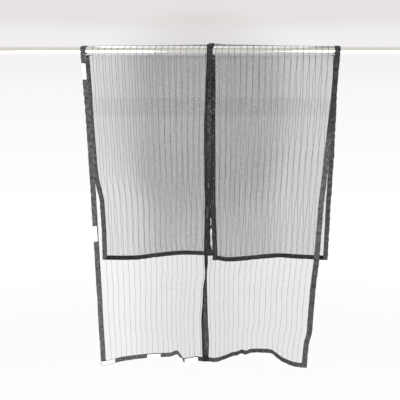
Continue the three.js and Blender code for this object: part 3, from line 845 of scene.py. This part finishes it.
bit_faces = np.array([(0, 2, 4), (2, 1, 4), (1, 3, 4), (3, 0, 4), (2, 0, 5), (1, 2, 5), (3, 1, 5), (0, 3, 5)])
thread_material = make_thread_material()
for panel in (left_panel, right_panel):
    width, side = panel["width"], panel["centre_side"]
    long_run = np.arange(long_end_gap, cloth_length - long_end_gap, stitch_step)
    hem_run = np.arange(band_width + hem_end_gap, width - band_width - hem_end_gap, stitch_step)
    lines = [stitch_line, band_width - stitch_line, width - stitch_line, width - band_width + stitch_line]
    parts = []
    for face in (1, -1):
        for line in lines:
            parts.append(stitch_bits(panel, line, long_run, True, face))
        for line in (hem_width - stitch_line, cloth_length - hem_width + stitch_line):
            parts.append(stitch_bits(panel, hem_run, line, False, face))
        centre_start = width - band_width if side > 0 else 0
        pocket_run = np.arange(centre_start + pocket_side_gaps[0],
                               centre_start + band_width - pocket_side_gaps[1], stitch_step)
        for pocket in magnet_pockets:
            for end in pocket:
                parts.append(stitch_bits(panel, pocket_run, front_drop + end * mm, False, face))
    points = np.concatenate([part[0] for part in parts])
    places = np.concatenate([part[1] for part in parts])
    faces = (bit_faces[None] + 6 * np.arange(len(points))[:, None, None]).reshape(-1, 3).tolist()
    piece = mesh_object(f"{panel['name']}_stitching", points, faces, thread_material, places)


# Fastening strips: white hook-and-loop strips, 60 mm long, stuck on the face of the left panel's tape,
# with which the curtain is fastened to a door frame. Their covering film is still on.
strip_half_thickness = 0.5 * mm
strip_stand_off = 1.8 * mm
strip_width = 15.5 * mm
strip_edge_round = 0.5 * mm
strip_rows = 31
end_lift, end_lift_reach = 0.8 * mm, 12 * mm
hook_row_half = 0.75 * mm

# Start and end along the panel's outer tape or its front hem, and inset from the tape's edge
strips_on_band = [(1143, 1203, 0.5), (517, 577, 0.5)]
strips_on_hem = [(2, 62, 2.5), (212, 272, 0.5), (402, 468, 0.5)]


def make_strip_material():
    """White woven backing under a thin satin film, with the hooks' rows showing as a faint relief."""
    tones = [(0, (0.84, 0.84, 0.83)), (1, (0.93, 0.93, 0.92))]
    material, add, connect = new_material("white_fastening", {"Roughness": 0.42, "Coat Weight": 0.2})
    place = add("ShaderNodeUVMap", uv_map="cloth").outputs[0]
    connect(colour_ramp(add, noise(add, place, 70.0, 3.0), tones), "Base Color")
    sides = add("ShaderNodeSeparateXYZ", {0: place})
    rows = worked_out(add, "PINGPONG", sides.outputs["Y"], hook_row_half)
    bump = add("ShaderNodeBump", {"Height": rows, "Strength": 0.3, "Distance": 0.3}).outputs[0]
    connect(bump, "Normal")
    return material


strip_material = make_strip_material()


def fastening_strip(number, start, end, inset, lengthways):
    """A closed strip with rounded edges and ends, its ends lifting a little from the tape."""
    rows = np.linspace(start, end, strip_rows) * mm
    profile = strip_profile(strip_width, strip_edge_round)
    side, share, run = profile[:, 0][None, :], profile[:, 1][None, :], rows[:, None]
    thickness = strip_half_thickness * end_round(run, rows[0], rows[-1], strip_edge_round)
    near_end = np.minimum(run - rows[0], rows[-1] - run)
    lift = end_lift * (1 - smooth_step(0, end_lift_reach, near_end))
    height = strip_stand_off + share * thickness + lift
    name = f"white_strip_{number}"
    strip = closed_strip(name, left_panel, rows, inset * mm + side, height, lengthways, strip_material)
    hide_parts(f"fastening_strip_{number}")
    return strip


band_strips = [fastening_strip(number, *strip, True) for number, strip in enumerate(strips_on_band, 1)]
hem_strips = [fastening_strip(number, *strip, False) for number, strip in enumerate(strips_on_hem, 3)]

# A loop over the panels that only reads each one's name
for panel in (left_panel, right_panel):
    name = panel["name"]


# Floor: a plain pale floor below the curtain, which fades into the white of the room all round
floor_height = -1.62
floor_radius = 3.0
floor_fade_from = 0.4
floor_rings, floor_spokes = 12, 96


def make_floor_material():
    """Matt white floor paint that turns clear towards its rim."""
    material, add, connect = new_material("pale_floor", {"Roughness": 0.9, "Specular IOR Level": 0.1,
                                                         "Base Color": (0.95, 0.965, 1.0, 1)})
    place = add("ShaderNodeTexCoord").outputs["Object"]
    level = add("ShaderNodeVectorMath", {0: place, 1: (1, 1, 0)}, operation="MULTIPLY").outputs[0]
    far = add("ShaderNodeVectorMath", {0: level}, operation="LENGTH").outputs["Value"]
    solid = add("ShaderNodeMapRange", {"Value": far, "From Min": floor_fade_from, "From Max": floor_radius,
                                       "To Min": 1.0, "To Max": 0.0}, interpolation_type="SMOOTHERSTEP")
    connect(solid.outputs[0], "Alpha")
    return material


spoke_turn = np.linspace(0, 2 * np.pi, floor_spokes, endpoint=False)[None, :]
ring_reach = np.linspace(0, floor_radius, floor_rings + 1)[1:, None]
floor_points = np.stack(np.broadcast_arrays(ring_reach * np.cos(spoke_turn), ring_reach * np.sin(spoke_turn),
                                            floor_height), axis=-1)
floor_faces = grid_faces(floor_rings, floor_spokes, ring=True)[:, ::-1].tolist()
floor_mesh = bpy.data.meshes.new("floor")
floor_mesh.from_pydata(floor_points.reshape(-1, 3).tolist(), [], floor_faces + [list(range(floor_spokes))])
floor_mesh.materials.append(make_floor_material())
floor = bpy.data.objects.new("floor", floor_mesh)
bpy.context.scene.collection.objects.link(floor)


# Light: a white room that greys towards its ceiling behind the curtain and is cream above the viewer, with
# two large soft lamps low in front and a third high up behind. The room's tones go by the upward part of a
# direction, and its two halves run into each other beside the curtain.
tones_behind = [(-0.18, (1.0, 1.0, 1.0)), (-0.108, (0.983, 0.983, 0.985)), (-0.042, (0.957, 0.957, 0.973)),
                (0.007, (0.94, 0.93, 0.957)), (0.055, (0.896, 0.88, 0.89)), (0.090, (0.875, 0.857, 0.865)),
                (0.101, (0.85, 0.835, 0.835)), (0.115, (0.79, 0.768, 0.76)), (0.147, (0.80, 0.775, 0.775))]
tones_before = [(-0.10, (1.12, 1.12, 1.12)), (0.03, (1.12, 1.12, 1.12)), (0.13, (0.74, 0.71, 0.65)),
                (0.93, (0.72, 0.70, 0.65)), (0.985, (0.86, 0.85, 0.84))]
shade_middle, shade_reach = (0, 0, -0.04), (0.22, 1, 0.22)
shade_tones = [(0.50, (0.84, 0.825, 0.82)), (0.92, (1, 1, 1))]
half_blend = 0.2
lamp_colour = (0.94, 0.97, 1.0)

world = bpy.data.worlds.new("room")
bpy.context.scene.world = world
world.use_nodes = True
add_to_room = node_maker(world.node_tree)
direction = add_to_room("ShaderNodeTexCoord").outputs["Generated"]
parts = add_to_room("ShaderNodeSeparateXYZ", {0: direction}).outputs


def room_tones(rows, place, interpolation="LINEAR"):
    """A colour ramp through rows of place and colour, its places moved to run from 0 to 1."""
    first, last = rows[0][0], rows[-1][0]
    share = ranged(add_to_room, place, first, last)
    moved = [((level - first) / (last - first), colour) for level, colour in rows]
    return colour_ramp(add_to_room, share, moved, interpolation)


beside = add_to_room("ShaderNodeVectorMath", {0: direction, 1: shade_middle}, operation="SUBTRACT").outputs[0]
beside = add_to_room("ShaderNodeVectorMath", {0: beside, 1: (1, 0, 1)}, operation="MULTIPLY").outputs[0]
beside = add_to_room("ShaderNodeVectorMath", {0: beside, 1: shade_reach}, operation="DIVIDE").outputs[0]
far = add_to_room("ShaderNodeVectorMath", {0: beside}, operation="LENGTH").outputs["Value"]
behind = add_to_room("ShaderNodeVectorMath", {0: room_tones(tones_behind, parts["Z"]),
                                              1: room_tones(shade_tones, far, "EASE")}, operation="MULTIPLY")
before = room_tones(tones_before, parts["Z"])
side = ranged(add_to_room, parts["Y"], -half_blend, half_blend)
part_behind = add_to_room("ShaderNodeVectorMath", {0: behind.outputs[0], "Scale": side}, operation="SCALE")
other_side = worked_out(add_to_room, "SUBTRACT", 1.0, side)
part_before = add_to_room("ShaderNodeVectorMath", {0: before, "Scale": other_side}, operation="SCALE")
both = add_to_room("ShaderNodeVectorMath", {0: part_behind.outputs[0], 1: part_before.outputs[0]})
world.node_tree.links.new(both.outputs[0], world.node_tree.nodes["Background"].inputs["Color"])


def soft_lamp(name, place, aim, size, power):
    """A square soft lamp at a place, turned to face a point."""
    lamp = bpy.data.lights.new(name, "AREA")
    lamp.size = size
    lamp.color = lamp_colour
    lamp.energy = power
    holder = bpy.data.objects.new(name, lamp)
    bpy.context.scene.collection.objects.link(holder)
    holder.location = place
    away = np.array(place, float) - np.array(aim, float)
    flat = np.hypot(away[0], away[1])
    holder.rotation_euler = (np.arctan2(flat, away[2]), 0, np.arctan2(away[0], -away[1]))


soft_lamp("key_lamp", (-1.6, -3.2, -0.7), (0, 0, -0.6), 1.8, 60)
soft_lamp("fill_lamp", (2.0, -3.2, -0.6), (0.3, 0, -0.7), 1.6, 45)
soft_lamp("top_lamp", (0, 1.6, 2.4), (0, -0.4, -1.62), 2.2, 38)


# Camera: level with the upper half of the curtain, looking a little down, as the photograph was taken
camera_place = (-0.0398, -2.364, -0.1625)
camera_tilt_down = np.radians(10)
sensor_width, lens_length = 36, 54
camera = bpy.data.objects.new("camera", bpy.data.cameras.new("camera"))
camera.data.sensor_width = sensor_width
camera.data.lens = lens_length
camera.location = camera_place
camera.rotation_euler = (np.pi / 2 - camera_tilt_down, 0, 0)
bpy.context.scene.collection.objects.link(camera)
bpy.context.scene.camera = camera
bpy.context.scene.view_settings.view_transform = "Standard"
